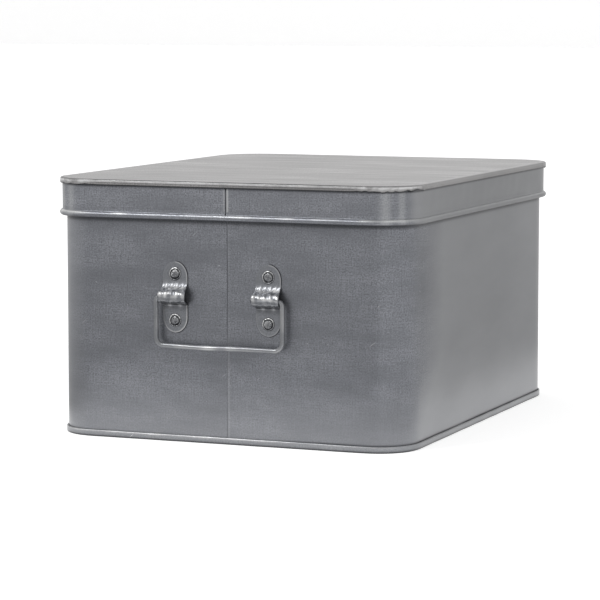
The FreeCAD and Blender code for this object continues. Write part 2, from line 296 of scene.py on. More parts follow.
def add(tree, kind, inputs=None, **settings):
    """Adds a node with its settings, sets or links its named inputs, and gives its first output in use."""
    made = tree.nodes.new(kind)
    for name, value in settings.items():
        setattr(made, name, value)
    for name, value in (inputs or {}).items():
        if isinstance(value, bpy.types.NodeSocket):
            tree.links.new(value, made.inputs[name])
        else:
            made.inputs[name].default_value = value
    return next(socket for socket in made.outputs if socket.enabled)


# The flakes of the real paint are finer than this mottle, which is drawn as coarse as it needs to show.
MOTTLE_MM = (1.2, 1.2)
SPECK_MM = (3.5, 3.5)
SCRATCH_MM = (18, 1.4)
SCRATCH_SLANT = 0.7
BRUSH_MARK_DEEP = 0.00015
# Dark colour of grime in the lap's groove and of painted shade in creases, under rims and at the floor.
SHADE_AND_GRIME_COLOUR = "#242528"


def grey_paint(
    name, ends, sides, wear_and_highlight, rough, metallic=0.75,
    stroke_mm=(16, 1.1), cloud_mm=(80, 26), grain=1.0, upright=0.55,
):
    """Grey metallic paint on steel, whose flakes give it a broad metal gloss.

    Brushed places are darker and cooler, with a fine mottle and faint strokes along and upright, more in some
    patches than in others, and a few pale specks and slanting scratches. On the walls and the lid's skirt
    their darker colour is partly painted shade. The rest is smoother, with faint clouds. Worn places and
    painted highlights take the bright colour, and grime and painted shade take the dark one. ends and sides
    give the dark and the pale colour of brushed and of smooth places, wear_and_highlight the bright colour,
    and rough the roughness of smooth and of brushed ones.
    """
    material = bpy.data.materials.new(name)
    material.use_nodes = True
    tree = material.node_tree
    shader = tree.nodes["Principled BSDF"]
    place = add(tree, "ShaderNodeUVMap", uv_map="surface")
    look = add(tree, "ShaderNodeAttribute", attribute_name="looks").node.outputs["Vector"]
    wear_and_highlight_share, shade_and_grime, brushed_and_shaded = add(tree, "ShaderNodeSeparateXYZ", {"Vector": look}).node.outputs
    slanted = add(tree, "ShaderNodeMapping", {"Vector": place, "Rotation": (0, 0, SCRATCH_SLANT)})
    fields = []
    for way, (wide_mm, high_mm) in (
        (place, stroke_mm),
        (place, stroke_mm[::-1]),
        (place, MOTTLE_MM),
        (place, cloud_mm),
        (place, SPECK_MM),
        (slanted, SCRATCH_MM),
    ):
        scale = (1000 / wide_mm, 1000 / high_mm, 1)
        scaled = add(tree, "ShaderNodeMapping", {"Vector": way, "Scale": scale})
        noise = {"Vector": scaled, "Scale": 1.0, "Detail": 3.0, "Roughness": 0.6}
        fields.append(add(tree, "ShaderNodeTexNoise", noise))
    along, across, mottle, cloud, speck, scratch = fields
    strokes = add(tree, "ShaderNodeMix", {"Factor": upright, "A": along, "B": across})
    vigour = {"Value": cloud, "From Min": 0.38, "From Max": 0.62, "To Min": 0.5, "To Max": 1.3}
    vigour = add(tree, "ShaderNodeMapRange", vigour)
    fine = add(tree, "ShaderNodeMath", {0: strokes, 1: 0.6, 2: mottle}, operation="MULTIPLY_ADD")
    fine = add(tree, "ShaderNodeMath", {0: fine, 1: 0.8}, operation="SUBTRACT")
    for share in (vigour, brushed_and_shaded):
        fine = add(tree, "ShaderNodeMath", {0: fine, 1: share}, operation="MULTIPLY")
    lay = {0: fine, 1: 2.2 * grain, 2: cloud}
    lay = add(tree, "ShaderNodeMath", lay, operation="MULTIPLY_ADD", use_clamp=True)
    coats = []
    for dark, pale in (sides, ends):
        coat = {0: lay, 6: linear(dark), 7: linear(pale)}
        coats.append(add(tree, "ShaderNodeMix", coat, data_type="RGBA"))
    colour = add(tree, "ShaderNodeMix", {0: brushed_and_shaded, 6: coats[0], 7: coats[1]}, data_type="RGBA")
    specks = add(tree, "ShaderNodeMath", {0: speck, 1: scratch}, operation="MAXIMUM")
    specks = {"Value": specks, "From Min": 0.7, "From Max": 0.76, "To Max": 0.6}
    specks = add(tree, "ShaderNodeMapRange", specks)
    specks = add(tree, "ShaderNodeMath", {0: specks, 1: brushed_and_shaded}, operation="MULTIPLY")
    # Worn places and painted highlights take the bright colour; grime and painted shade take the dark one.
    wear_and_highlight_mix = add(tree, "ShaderNodeMath", {0: mottle, 1: 0.6, 2: 0.7}, operation="MULTIPLY_ADD")
    wear_and_highlight_mix = add(tree, "ShaderNodeMath", {0: wear_and_highlight_mix, 1: wear_and_highlight_share}, operation="MULTIPLY", use_clamp=True)
    for share, over in ((specks, wear_and_highlight), (wear_and_highlight_mix, wear_and_highlight), (shade_and_grime, SHADE_AND_GRIME_COLOUR)):
        colour = add(tree, "ShaderNodeMix", {0: share, 6: colour, 7: linear(over)}, data_type="RGBA")
    gloss = add(tree, "ShaderNodeMapRange", {"Value": brushed_and_shaded, "To Min": rough[0], "To Max": rough[1]})
    gloss = add(tree, "ShaderNodeMath", {0: fine, 1: -0.25, 2: gloss}, operation="MULTIPLY_ADD")
    height = add(tree, "ShaderNodeMath", {0: strokes, 1: 0.25, 2: fine}, operation="MULTIPLY_ADD")
    bump = add(tree, "ShaderNodeBump", {"Height": height, "Strength": 0.3, "Distance": BRUSH_MARK_DEEP})
    for into, value in (("Base Color", colour), ("Roughness", gloss), ("Normal", bump)):
        tree.links.new(value, shader.inputs[into])
    shader.inputs["Metallic"].default_value = metallic
    return material


# The ends' darker colours are partly painted shade.
wall_paint = grey_paint(
    "grey_metallic_paint_on_wall",
    ends=("#626469", "#919399"),
    sides=("#8E8F92", "#9D9EA1"),
    wear_and_highlight="#C8C9CA",
    rough=(0.33, 0.34),
)
wall_outline = sheet_outline(
    [
        (-SHEET / 2 - LAYER, wall_high.z - HEM_DEPTH),
        (-SHEET / 2 - LAYER, wall_high.z - SHEET / 2),
        (-SHEET / 2, wall_high.z - SHEET / 2),
        (-SHEET / 2, wall_low.z + SHEET / 2),
        (LAYER * 2 - SHEET / 2, wall_low.z + SHEET / 2),
        (LAYER * 2 - SHEET / 2, base_high.z - SHEET / 2 - LAYER),
    ],
    [LAYER / 2, LAYER / 2, LAYER, LAYER],
    step=0.002,
)
tongue_line = -SHEET / 2 - LAYER
tongue_top = wall_high.z - HEM_DEPTH - LAYER
tongue_outline = sheet_outline([(tongue_line, base_high.z), (tongue_line, tongue_top)], [], step=0.004)
fill_line = -SHEET / 2 - SEAM_FILL
fill_top = wall_high.z - HEM_DEPTH
fill_outline = sheet_outline([(fill_line, base_high.z), (fill_line, fill_top)], [], step=0.004)


def wall_uneven(points):
    """Long shallow hollows and swells of a hand-bent sheet."""
    return waves(points, length=0.11, depth=0.00012, seed=11)


# Places of painted shade, painted highlight and painted reflection on the wall.
FAINT_SEAM_SHADE_TO = 0.04
FLOOR_REFLECTION_HIGH = 0.055
SEAM_SHADE = 0.0016
BEAD_SHADOW = 0.0028
BEAD_SHADOW_DOWN = 0.0006
LAP_HIGHLIGHT_HIGH = 0.1
LAP_HIGHLIGHT_FADE = 0.03


def wall_look(points, normal, out):
    """Painted shade over the base seam and a painted shadow under the bead, both on the outside, grime in the
    lap's groove, and a painted highlight along the lap's edge.

    Along each end the painted shade over the seam is fainter as far as its right-hand part, and near the
    floor the wall is painted paler and less grained, a painted reflection of the white floor.
    """
    height = points[..., 2]
    on_end = normal[..., 1] ** 2
    along = along_end(points)
    by_corner = np.clip((along - FAINT_SEAM_SHADE_TO) / FAINT_SEAM_SHADE_TO, 0, 1)
    # Painted shade in the crease over the base seam, and a painted shadow under the bead.
    over_seam = (0.75 - 0.55 * on_end * (1 - by_corner)) * near(height, base_high.z, SEAM_SHADE)
    under_bead = 0.95 * near(height, skirt_low.z - BEAD_SHADOW_DOWN, BEAD_SHADOW)
    at_lap = on_end > 0.5
    groove = 0.22 * near(along, SEAM + WALL_GROOVE / 2, WALL_GROOVE) * at_lap
    low_down = np.clip((LAP_HIGHLIGHT_HIGH - height) / LAP_HIGHLIGHT_FADE, 0.3, 1)
    # A painted highlight along the lap's edge, mostly low down.
    lap_edge = near(along, SEAM + WALL_GROOVE * 2, WALL_GROOVE * 2) * (along > SEAM) * at_lap
    shade_and_grime = (over_seam + under_bead) * (out > -SHEET / 2) + groove
    # Paler and less grained near the floor: a painted reflection of the white floor.
    floor_reflection = 0.5 * np.clip(1 - height / FLOOR_REFLECTION_HIGH, 0, 1)
    return looks(points, 0.2 * lap_edge * low_down, np.clip(shade_and_grime, 0, 1), brush_and_shade(points) * (1 - floor_reflection))


wall_runs = steps(SEAM + WALL_GROOVE, ROUND / 2 + SEAM, spacing=0.003, fine=0.0008, length=0.004)
tongue_runs = steps(SEAM - TONGUE, SEAM + TONGUE, spacing=0.003)
fill_runs = steps(SEAM - WALL_GROOVE / 4, SEAM + WALL_GROOVE * 5 / 4, WALL_GROOVE / 2)
wall_shells = [
    carried(wall_outline, wall_runs, wall_uneven, wall_look),
    carried(fill_outline, fill_runs, wall_uneven, wall_look),
    carried(tongue_outline, tongue_runs, wall_uneven, wall_look),
]
piece("wall_right", wall_shells, wall_paint, "box", "painted_sheet", "right_wall")
wall_shells = [to_other_end(shell) for shell in wall_shells]
piece("wall_left", wall_shells, wall_paint, "box", "painted_sheet", "left_wall")

# Base panel
# A flat sheet whose edge is wrapped up round the foot of the wall, folded over and dressed flat with a
# mallet. The seam stands proud of the wall as a narrow band whose upper edge is worn and carries a painted
# highlight.
RIM_BEND = 0.0008
SEAM_STEP = 0.0018
PANEL_ROUND = 360
PANEL_ACROSS = 40


def seamed_outline(rim, hook, face, foot, tip):
    """Section of a seamed panel's edge: flat from the plan, over the rim, and back up the hook."""
    points = [(0, face), (rim, face), (rim, foot), (hook, foot), (hook, tip)]
    return sheet_outline(points, [RIM_BEND, LAYER, LAYER], step=SHEET)


def flat_panel(height, swell, brushed_and_shaded):
    """Closed slab over the plan: rows draw its outline in to the middle on the top, and out again below.

    The loose middle swells slowly up and down by a given depth.
    """
    runs = np.linspace(0, ROUND, PANEL_ROUND + 1)[:-1]
    share = np.concatenate([np.linspace(1, 0, PANEL_ACROSS), np.linspace(0, 1, PANEL_ACROSS)]) ** 0.8
    points = np.empty((len(runs), len(share), 3))
    points[..., :2] = plan(runs)[0][:, None] * share[:, None]
    points[..., 2] = height + np.repeat([SHEET, 0], PANEL_ACROSS)
    points[..., 2] += waves(points, length=0.12, depth=swell, seed=29) * (1 - share**8)
    uv = np.concatenate([points[..., :2], points[:1, :, :2]])
    uv = np.concatenate([uv, uv[:, :1]], 1)
    return grid(points, uv, looks(points, 0.0, 0.0, brushed_and_shaded), True, True)


base_paint = grey_paint(
    "grey_metallic_paint_on_base_seam",
    ends=("#828488", "#A1A2A5"),
    sides=("#86878A", "#9D9EA0"),
    wear_and_highlight="#E8E8E8",
    rough=(0.3, 0.34),
)
base_outline = seamed_outline(
    rim=LAYER * 3 - SHEET / 2,
    hook=LAYER - SHEET / 2,
    face=SHEET / 2,
    foot=base_high.z - SHEET / 2,
    tip=SHEET + LAYER * 2,
)


def base_uneven(points):
    """Mallet marks along the base seam."""
    return waves(points, length=0.03, depth=0.00008, seed=21)


# Where the seam's painted highlight fades on the ends, and the painted contact shadow at the floor.
SEAM_HIGHLIGHT_TO = 0.08
SEAM_HIGHLIGHT_FADE = 0.05
FLOOR_SHADOW = (0.0003, 0.0019)


def base_look(points, normal, out):
    """Upper edge of the seam worn and given a painted highlight in stretches along most of the ends, and a
    painted contact shadow at the floor.
    """
    height = points[..., 2]
    level = points * [1, 1, 0]
    stretches = 0.55 + waves(level, length=0.02, depth=0.12, seed=5)
    stretches = stretches + waves(level, length=0.004, depth=0.08, seed=6)
    stretches = stretches * np.clip((SEAM_HIGHLIGHT_TO - along_end(points)) / SEAM_HIGHLIGHT_FADE, 0.25, 1)
    upper_edge = near(height, base_high.z - SHEET, SHEET * 2) * (out > LAYER)
    floor = 0.95 * near(height, *FLOOR_SHADOW)
    return looks(points, stretches * upper_edge * normal[..., 1] ** 2, floor, brush_and_shade(points))


base_shells = [
    carried(base_outline, steps(0, ROUND, SEAM_STEP)[:-1], base_uneven, base_look, True),
    flat_panel(0.0, swell=0.0, brushed_and_shaded=0.3),
]
piece("base", base_shells, base_paint, "box", "painted_sheet", "base_panel")

# Handle straps
# Strips of 1 mm steel with rounded ends, hammered over the bail's wire to make a hump, and riveted flat above
# and below it. The hammer spread the hump a little and left it scalloped, and hands have rubbed it bright;
# its bright bands on the root bend and the crest are also painted highlights, and the shade under it and
# round the strap's edges is painted.
STRAP_THICK = 0.001
STRAP_END_SHARE = 1.18
EDGE_ROUND = 0.0004
HUMP_TOP = 0.0034
HUMP_FOOT = 0.0026
HUMP_BENDS = (0.004, 0.0024)
ROOT_TOP = 0.009
ROOT_FOOT = 0.006
ROOT_BENDS = (0.008, 0.0025)
# Width of the dark lip round the strap's foot, a painted shadow.
SHADOW_LIP = 0.0006
HUMP_SPREAD = 0.0012
SCALLOP = 0.0048
SCALLOP_DEEP = 0.0002
FURROW_DEEP = 0.0003
strap_low, strap_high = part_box("front_left_strap")
bail_low, bail_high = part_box("front_bail")
WIRE = (bail_high.y - bail_low.y) / 2
AXIS_HEIGHT = (strap_low.z + strap_high.z) / 2
AXIS_OUT = -HALF_LENGTH - (bail_low.y + bail_high.y) / 2
STRAP_HALF = (strap_high.x - strap_low.x) / 2
STRAP_LONG = strap_high.z - strap_low.z
HUMP_OUT = -HALF_LENGTH - strap_low.y - STRAP_THICK / 2

strap_paint = grey_paint(
    "grey_metallic_paint_on_straps",
    ends=("#6E7074", "#909297"),
    sides=("#6E7074", "#909297"),
    wear_and_highlight="#D6D6D6",
    rough=(0.3, 0.34),
    stroke_mm=(10, 1.2),
    grain=0.8,
)


def closed_tube(points, uv, look):
    """Shell of rings in rows, with each end drawn together to the middle of its ring."""
    ends = [np.repeat(ring.mean(0)[None, None], points.shape[1], 1) for ring in (points[0], points[-1])]
    points = np.concatenate([ends[0], points, ends[1]])
    uv = np.concatenate([uv[:1], uv, uv[-1:]])
    look = np.concatenate([look[:1], look, look[-1:]])
    return grid(points, uv, look, False, True)


# Lengths down the strap from the bail's axis, where a pair is the middle of a mark and its reach.
HUMP_MIDDLE = -0.003
HUMP_REACH = 0.0125
SPREAD_REACH = 0.0075
SHADE_FADE = 0.05
ROWS_MEET = -0.009
ROW_STEP = 0.0015
FURROW = (0.0002, 0.0022)
ROOT_HIGHLIGHT = (-0.0105, 0.0035)
CREST_HIGHLIGHT = (-0.0025, 0.003)
BUMP_HIGHLIGHTS = (0.0105, 0.004)
HUMP_FOOT_SHADOW = (0.011, 0.006)
LOWER_HUMP_SHADE = (0.004, 0.006)
# Lengths across it, and the shift in radians between its two rows of scallops.
BUMP_HIGHLIGHT_OUT = 0.0045
BUMP_HIGHLIGHT_WIDE = 0.0024
EDGE_HIGHLIGHT_REACH = 0.0007
ROW_SHIFT = 1.6


def strap(middle, seed, edge_highlights):
    """Shell of one strap: a flat ring carried along the strip's bent middle line.

    The ring is as wide as the strip is there, which narrows as half an oval at both ends and spreads on the
    hump, and its edges are small half rounds with a thin dark lip at the foot, a painted shadow that is
    strongest on the right and lower edges. Scallops across the hump and a furrow along it move only its outer
    face. edge_highlights says how bright the painted highlight along the rim of the upper and of the lower
    end is.
    """
    half_long = STRAP_LONG / 2
    line, left = bent_line(
        [
            (STRAP_THICK / 2, half_long),
            (STRAP_THICK / 2, ROOT_TOP),
            (HUMP_OUT, HUMP_TOP),
            (HUMP_OUT, -HUMP_FOOT),
            (STRAP_THICK / 2, -ROOT_FOOT),
            (STRAP_THICK / 2, -half_long),
        ],
        [ROOT_BENDS[0], HUMP_BENDS[0], HUMP_BENDS[1], ROOT_BENDS[1]],
        step=0.0005,
    )
    length = line_lengths(line)
    from_middle = (length - np.interp(0, -line[:, 1], length))[:, None]
    on_hump = np.exp(-(((from_middle - HUMP_MIDDLE) / HUMP_REACH) ** 6))
    oval = STRAP_HALF * STRAP_END_SHARE
    into_end = np.clip((abs(line[:, 1:]) - (half_long - oval)) / oval, 0, 1)
    end_width = np.sqrt(1 - into_end**2)
    width = np.maximum(STRAP_HALF * end_width, EDGE_ROUND * 1.5)
    width = width + HUMP_SPREAD * np.exp(-((from_middle / SPREAD_REACH) ** 4))
    turn = np.linspace(-np.pi / 2, np.pi / 2, 7)
    face = np.linspace(-1, 1, 49)[1:-1]
    across = np.concatenate([face, np.ones(7), face[::-1], -np.ones(7)])
    edge = np.concatenate([face * 0, np.cos(turn), face * 0, -np.cos(turn)])
    lift = np.concatenate([face * 0 + 1, -np.sin(turn), face * 0 - 1, np.sin(turn)])
    at_edge = abs(across) == 1
    outer = lift > 0.5
    x = across * (width - EDGE_ROUND) + edge * EDGE_ROUND
    # Weight of the painted shadow and painted highlight at the edges, strongest on the right and lower edges.
    shaded = np.clip(0.1 + 0.9 * (across > 0) + np.clip(from_middle, 0, None) / SHADE_FADE, 0, 1)
    shaded = shaded * (1 - on_hump)
    shadow_lip = at_edge * (lift < 0) * SHADOW_LIP * shaded
    from_edge = STRAP_HALF * (1 - np.hypot(x / STRAP_HALF, into_end))
    x = x + np.sign(across) * shadow_lip * end_width
    flat = np.stack(np.broadcast_arrays(x * 0.55, length[:, None], 0.0), -1)
    drift = waves(flat, length=0.02, depth=1.2, seed=seed + 2)
    drift = drift + ROW_SHIFT * np.tanh((from_middle - ROWS_MEET) / ROW_STEP)
    scallops = SCALLOP_DEEP * np.sin(2 * np.pi * x / SCALLOP + drift)
    scallops = scallops + waves(flat, length=0.003, depth=0.0001, seed=seed)
    dents = (scallops * on_hump - FURROW_DEEP * near(from_middle, *FURROW)) * outer
    height = lift * STRAP_THICK / 2 + dents
    out = line[:, :1] + left[:, :1] * height
    up = line[:, 1:] + left[:, 1:] * height + np.sign(line[:, 1:]) * shadow_lip * into_end
    points = np.stack([middle + x, -HALF_LENGTH - out, AXIS_HEIGHT + up], -1)
    uv = np.stack(np.broadcast_arrays(x, length[:, None]), -1)
    uv = np.concatenate([uv, uv[:, :1]], 1)
    # Wear and painted highlights on the hump: the scallop crests, and bright bands on the root bend and
    # crest.
    crests = np.clip(0.45 + 1200 * scallops + waves(flat, length=0.0035, depth=0.3, seed=seed + 1), 0, 1)
    highlight_bands = 0.15 + 0.7 * near(from_middle, *ROOT_HIGHLIGHT) + near(from_middle, *CREST_HIGHLIGHT)
    wear_and_highlight = on_hump * outer * crests * highlight_bands
    # A painted highlight along the inside of the edge.
    rim = np.where(from_middle < 0, *edge_highlights) * near(from_edge, EDGE_ROUND, EDGE_HIGHLIGHT_REACH) * (lift > 0.1) * shaded
    # Two painted highlights on small bumps under the hump.
    bump_highlights = 0.5 * (near(x, -BUMP_HIGHLIGHT_OUT, BUMP_HIGHLIGHT_WIDE) + near(x, BUMP_HIGHLIGHT_OUT, BUMP_HIGHLIGHT_WIDE)) * near(from_middle, *BUMP_HIGHLIGHTS)
    # Painted shade under the hump.
    under_hump_shade = 0.6 * near(from_middle, *HUMP_FOOT_SHADOW) + 0.3 * near(from_middle, *LOWER_HUMP_SHADE)
    # Painted shadow on the lip at the edges and painted shade under the hump, less under the bump highlights.
    shade_and_grime = 0.85 * at_edge * (lift < 0.1) * shaded + under_hump_shade * (lift > 0) - bump_highlights
    return closed_tube(points, uv, looks(points, np.clip(wear_and_highlight + rim + bump_highlights, 0, 1), np.clip(shade_and_grime, 0, 1)))


def strap_middle(node):
    """X of the middle of a strap, from its CAD node."""
    low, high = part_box(node)
    return (low.x + high.x) / 2


for side, other, seed, edge_highlights in (("left", "right", 31, (0.4, 0.65)), ("right", "left", 41, (0.3, 0.2))):
    front = strap(strap_middle(f"front_{side}_strap"), seed, edge_highlights)
    rear = to_other_end(strap(-strap_middle(f"rear_{other}_strap"), seed + 5, edge_highlights))
    piece(f"strap_front_{side}", [front], strap_paint, "box", "handle_strap", f"front_{side}_strap")
    piece(f"strap_rear_{other}", [rear], strap_paint, "box", "handle_strap", f"rear_{other}_strap")

# Washers and rivets
# Each strap is held by two soft steel rivets: a made head inside the box, a shank through wall, strap and a
# dished washer, and an outer end hammered flat in the dish by hand, so no two are alike.
WASHER_RADIUS = 0.0052
WASHER_THICK = 0.0008
WASHER_DISH = 0.0005
WASHER_UNEVEN = 0.00008
SHANK = 0.0017
SHANK_HOLE = SHANK * 1.02
HEAD_RADIUS = 0.0034
HEAD_HIGH = 0.0009
HEAD_UNEVEN = 0.00016
INNER_RADIUS = 0.0035
INNER_HIGH = 0.0016

rivet_paint = grey_paint(
    "grey_metallic_paint_on_rivets",
    ends=("#4A4C4F", "#909194"),
    sides=("#5C5D60", "#909193"),
    wear_and_highlight="#E6E6E6",
    rough=(0.32, 0.34),
    metallic=0.85,
    stroke_mm=(3, 1.2),
    grain=1.8,
)


def spun(profile, x, z, seed, uneven):
    """Shell of a profile spun about an axis along -Y, with its radius and height made uneven.

    Each point of the profile has a radius, a height over the wall, how bright it is with wear and painted
    highlight, and how dark with painted shade. One side of the ring, drawn at random, gets more of the
    painted highlight and less of the painted shade, as if lit from there.
    """
    angle = np.linspace(0, 2 * np.pi, 49)[:-1, None]
    radius, out, wear_and_highlight, shade_and_grime = np.asarray(profile, float).T
    ring = np.stack(np.broadcast_arrays(radius * np.cos(angle), radius * np.sin(angle), out), -1)
    spread = radius + waves(ring, length=0.006, depth=uneven, seed=seed) * np.clip(radius / 0.001, 0, 1)
    rise = out + waves(ring, length=0.0022, depth=uneven, seed=seed + 1) * (out > STRAP_THICK * 1.5)
    points = np.stack([x + spread * np.cos(angle), -HALF_LENGTH - rise, z + spread * np.sin(angle)], -1)
    uv = np.concatenate([points[..., [0, 2]], points[:1][..., [0, 2]]])
    draw = np.random.default_rng(seed)
    # A painted highlight on one side of the ring and more painted shade on the other, as if lit from there.
    lit_side = np.cos(angle - draw.uniform(1.6, 2.4))
    lit = (0.5 + 0.7 * lit_side) * draw.uniform(0.8, 1.6)
    lit = lit * np.clip(0.8 + waves(ring, length=0.0016, depth=0.5, seed=seed + 2), 0, 1.5)
    shade_and_grime = shade_and_grime * (0.75 - 0.25 * lit_side)
    return grid(points, uv, looks(points, np.clip(wear_and_highlight * lit, 0, 1), shade_and_grime), True, False)


def rivet_shells(x, z, seed):
    """Washer and rivet at one place on the front end.

    The washer's profile goes out along its foot, up over the lip and down into the dish. The rivet's goes
    over the made head as a quarter oval, up the shank and over the hammered end as a flattened one.
    """
    top = STRAP_THICK + WASHER_THICK
    dish = top - WASHER_DISH
    # The washer's lip gets a painted highlight, and its foot and dish painted shade.
    washer = [
        (SHANK_HOLE, STRAP_THICK, 0, 0),
        (WASHER_RADIUS + 0.0003, STRAP_THICK, 0, 0.9),
        (WASHER_RADIUS, STRAP_THICK + 0.0003, 0.1, 0.2),
        (WASHER_RADIUS - 0.0001, top - 0.0002, 0.7, 0),
        (WASHER_RADIUS - 0.0005, top, 1.0, 0),
        (WASHER_RADIUS - 0.0008, top - 0.0001, 0.7, 0),
        (WASHER_RADIUS - 0.001, dish, 0, 1.0),
        (HEAD_RADIUS, dish, 0, 1.0),
        (SHANK_HOLE, dish, 0, 1.0),
        (SHANK_HOLE, STRAP_THICK, 0, 0),
    ]
    share = np.linspace(0, 1, 9)
    rise = np.linspace(0, np.pi / 2, 9)
    inner = [INNER_RADIUS * np.sin(rise), -SHEET - INNER_HIGH * np.cos(rise), rise * 0, rise * 0]
    neck = [(SHANK, -SHEET, 0, 0), (SHANK, dish, 0, 0), (HEAD_RADIUS * 0.92, dish, 0, 0.7)]
    # The hammered end's top is worn and given a painted highlight, and its edge painted shade.
    outer = [
        HEAD_RADIUS * np.cos(rise) ** 0.35,
        dish + HEAD_HIGH * np.sin(rise) ** 0.8,
        0.3 * np.exp(-(((share - 0.55) / 0.4) ** 2)),
        np.linspace(0.5, 0, 9) ** 2,
    ]
    rivet = np.concatenate([np.stack(inner, -1), neck, np.stack(outer, -1)])
    return spun(washer, x, z, seed, WASHER_UNEVEN), spun(rivet, x, z, seed + 3, HEAD_UNEVEN)


rivet_places = product(("front", "rear"), ("left", "right"), ("upper", "lower"))
for number, (end, side, level) in enumerate(rivet_places):
    place = f"{end}_{side}_{level}"
    low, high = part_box(f"{place}_rivet")
    way = 1 if end == "front" else -1
    pair = rivet_shells(way * (low.x + high.x) / 2, (low.z + high.z) / 2, 60 + 10 * number)
    washer, rivet = pair if end == "front" else (to_other_end(shell) for shell in pair)
    piece(f"washer_{place}", [washer], rivet_paint, "box", "rivet_metal", f"{place}_washer")
    piece(f"rivet_{place}", [rivet], rivet_paint, "box", "rivet_metal", f"{place}_rivet")

# Bails
# One length of 4 mm steel wire each, bent cold into a stirrup. The ends turn inwards and are sprung into the
# humps of the straps, where the bail swings. The grip is rubbed where fingers hold it.
SHOULDER = 0.0034
BAIL_CORNER = 0.007
BAIL_END_INSET = 0.004
GRIP_WORN = (-0.012, 0.03)
bail_paint = grey_paint(
    "grey_metallic_paint_on_wire",
    ends=("#76787B", "#949598"),
    sides=("#76787B", "#949598"),
    wear_and_highlight="#CCCCCC",
    rough=(0.3, 0.34),
    metallic=0.8,
    stroke_mm=(25, 1.2),
    grain=0.6,
)


def bail(middle, seed):
    """Shell of a bail: a ring of the wire's radius carried along its bent line, a little uneven in the grip.

    The last rings at both ends are slimmer, which rounds off the cut wire.
    """
    end = middle - strap_low.x - 2 * STRAP_HALF + BAIL_END_INSET
    leg = bail_high.x - WIRE - middle
    grip = bail_low.z + WIRE - AXIS_HEIGHT
    line, left = bent_line(
        [(-end, 0), (-leg, 0), (-leg, grip), (leg, grip), (leg, 0), (end, 0)],
        [SHOULDER, BAIL_CORNER, BAIL_CORNER, SHOULDER],
        step=0.0015,
    )
    lead = np.outer([0.0, 0.06, 0.25], [WIRE, 0])
    slim = np.array([0.3, 0.8, 1.0])
    line = np.concatenate([line[:1] - lead, line[1:-1], line[-1:] + lead[::-1]])
    left = np.concatenate([left[:1].repeat(3, 0), left[1:-1], left[-1:].repeat(3, 0)])
    radius = (np.concatenate([slim, np.ones(len(line) - 6), slim[::-1]]) * WIRE)[:, None]
    turn = np.linspace(0, 2 * np.pi, 25)
    ring = radius * np.cos(turn[:-1])
    spine = np.stack([line[:, 0], line[:, 0] * 0, line[:, 1]], -1)
    free = np.clip(-line[:, 1] / 0.012 - 0.4, 0, 1)
    sag = (waves(spine, length=0.06, depth=0.00022, seed=seed + 1) * free)[:, None]
    x = line[:, :1] + left[:, :1] * ring
    z = line[:, 1:] + left[:, 1:] * ring + sag
    points = np.stack(np.broadcast_arrays(x, radius * np.sin(turn[:-1]), z), -1)
    uv = np.stack(np.broadcast_arrays(line_lengths(line)[:, None], turn * WIRE), -1)
    held = near(line[:, 0], *GRIP_WORN) * (line[:, 1] < grip * 0.9)
    wear_and_highlight = np.clip(0.25 * held[:, None] + waves(points, length=0.018, depth=0.12, seed=seed + 2), 0, 1)
    points += [middle, -HALF_LENGTH - AXIS_OUT, AXIS_HEIGHT]
    return closed_tube(points, uv, looks(points, wear_and_highlight))


bail_middle = (bail_low.x + bail_high.x) / 2
front_bail = bail(bail_middle, 91)
rear_bail = to_other_end(bail(bail_middle, 95))
piece("bail_front", [front_bail], bail_paint, "front_handle", "handle_wire", "front_bail")
piece("bail_rear", [rear_bail], bail_paint, "rear_handle", "handle_wire", "rear_bail")

# Lid skirt halves
# Two strips of the same sheet, hooked at the top for the lid's seam, drawn in to a neck at the lower edge and
# rolled outwards over a wire, which makes the bead. Paint fills the furrow over the bead. The halves lap near
# the middle of each end, as the wall does.
BEAD = 0.0025
NECK_HIGH = 0.0028
NECK_BEND = 0.003
ROLL_END_SHARE = 0.5
LID_GROOVE = 0.001
BUTT_GAP = 0.00005
DINT_DEEP = 0.0005
panel_low, panel_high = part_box("lid_panel")
SKIRT_MIDDLE = skirt_high.x - HALF_WIDTH - BEAD
BEAD_HEIGHT = skirt_low.z + BEAD
roll = BEAD - SHEET / 2
skirt_face = SKIRT_MIDDLE + SHEET / 2
skirt_top = skirt_high.z - SHEET / 2
neck_top = BEAD_HEIGHT + roll + NECK_HIGH

# The ends' darker colours are partly painted shade.
skirt_paint = grey_paint(
    "grey_metallic_paint_on_lid_skirt",
    ends=("#65676C", "#94969C"),
    sides=("#898A8D", "#999A9C"),
    wear_and_highlight="#CACBCB",
    rough=(0.33, 0.36),
)
skirt_outline = sheet_outline(
    [
        (SKIRT_MIDDLE + LAYER * 2, panel_low.z + SHEET / 2 + LAYER),
        (SKIRT_MIDDLE + LAYER * 2, skirt_top),
        (SKIRT_MIDDLE, skirt_top),
        (SKIRT_MIDDLE, neck_top),
        (SKIRT_MIDDLE - roll, BEAD_HEIGHT + roll),
        (SKIRT_MIDDLE - roll, BEAD_HEIGHT - roll),
        (SKIRT_MIDDLE + roll, BEAD_HEIGHT - roll),
        (SKIRT_MIDDLE + roll, BEAD_HEIGHT + roll),
        (SKIRT_MIDDLE - roll * ROLL_END_SHARE, BEAD_HEIGHT + roll),
    ],
    [LAYER, LAYER, NECK_BEND, NECK_BEND, roll, roll, roll],
    step=0.001,
)
lid_tongue_line = SKIRT_MIDDLE - LAYER
lid_tongue_outline = sheet_outline(
    [(lid_tongue_line, neck_top + LAYER), (lid_tongue_line, panel_low.z - LAYER)], [], step=0.003
)
fillet_turn = np.linspace(0, np.pi / 2, 6)
fillet = np.stack([1 - np.cos(fillet_turn), 1 - np.sin(fillet_turn)], -1) * SHEET * 1.2
